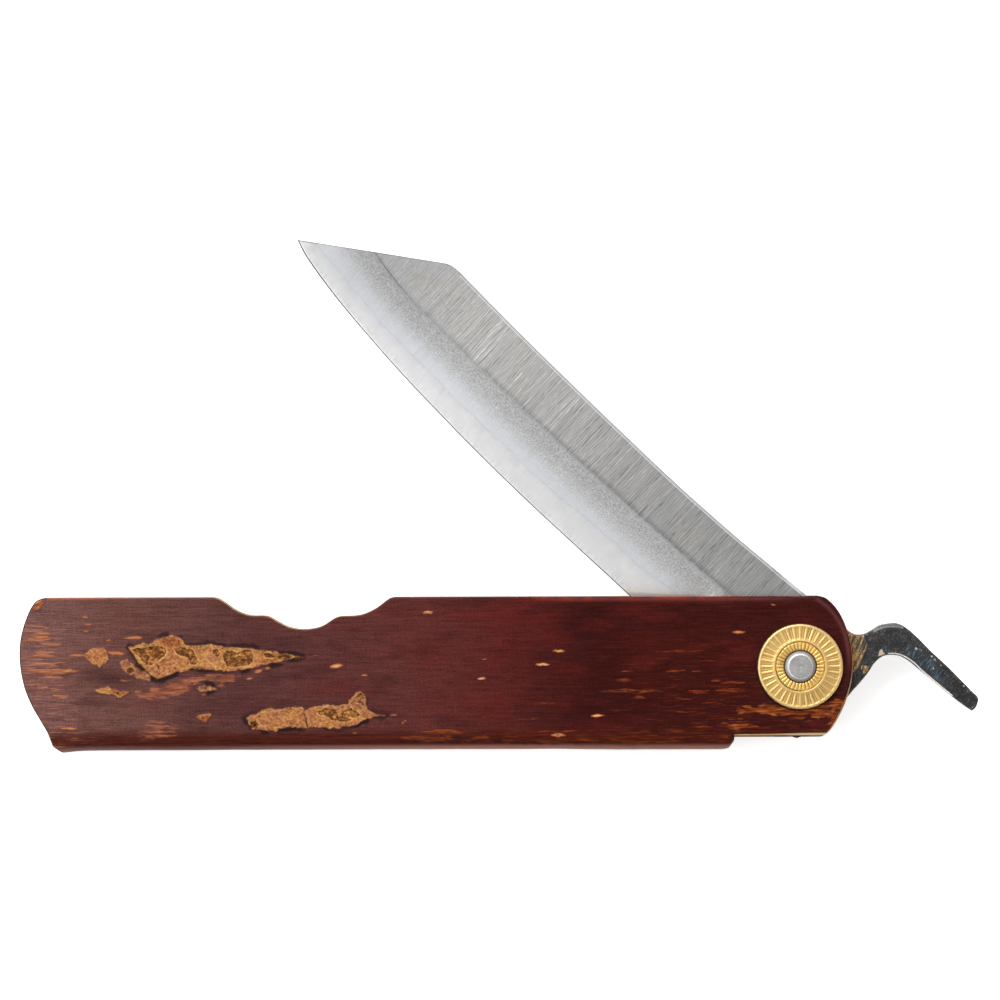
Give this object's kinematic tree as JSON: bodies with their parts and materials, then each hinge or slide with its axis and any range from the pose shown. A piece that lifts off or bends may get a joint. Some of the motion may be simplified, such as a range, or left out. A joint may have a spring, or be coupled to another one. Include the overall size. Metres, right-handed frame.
{
  "type": "folding pocket knife",
  "caption": "Friction folding knife: bark-wrapped folded brass handle with a finger notch, laminated blade with a clipped point and a thumb lever, riveted pivot with fluted washers.",
  "frame": {"origin": "on the pivot axis, at the flat end of the back rivet head, which is the plane the knife lies on", "axes": "+Z along the pivot from the back face to the front face, +X along the handle towards its pivot end, +Y towards the open edge of the handle"},
  "size_m": [0.1232, 0.0654, 0.0085],
  "materials": {
    "brass": "aged satin brass",
    "cherry_bark": "glossy dark red-brown bark with tan cork scars",
    "rivet_steel": "peened steel",
    "soft_iron": "brushed flats, hazed bevel, black forge scale on the lever",
    "edge_steel": "stone-ground bright edge"
  },
  "bodies": {
    "handle": {"handle_channel": "brass", "bark_wrap": "cherry_bark", "washer_front": "brass", "washer_back": "brass", "pivot_rivet": "rivet_steel"},
    "blade": {"blade_body": "soft_iron", "blade_edge_core": "edge_steel"}
  },
  "joints": [
    {"name": "blade_pivot", "type": "hinge", "parent": "handle", "child": "blade", "pos_m": [0, 0, 0.00427], "axis": [0, 0, -1], "range_deg": [-43, 133.5]}
  ]
}
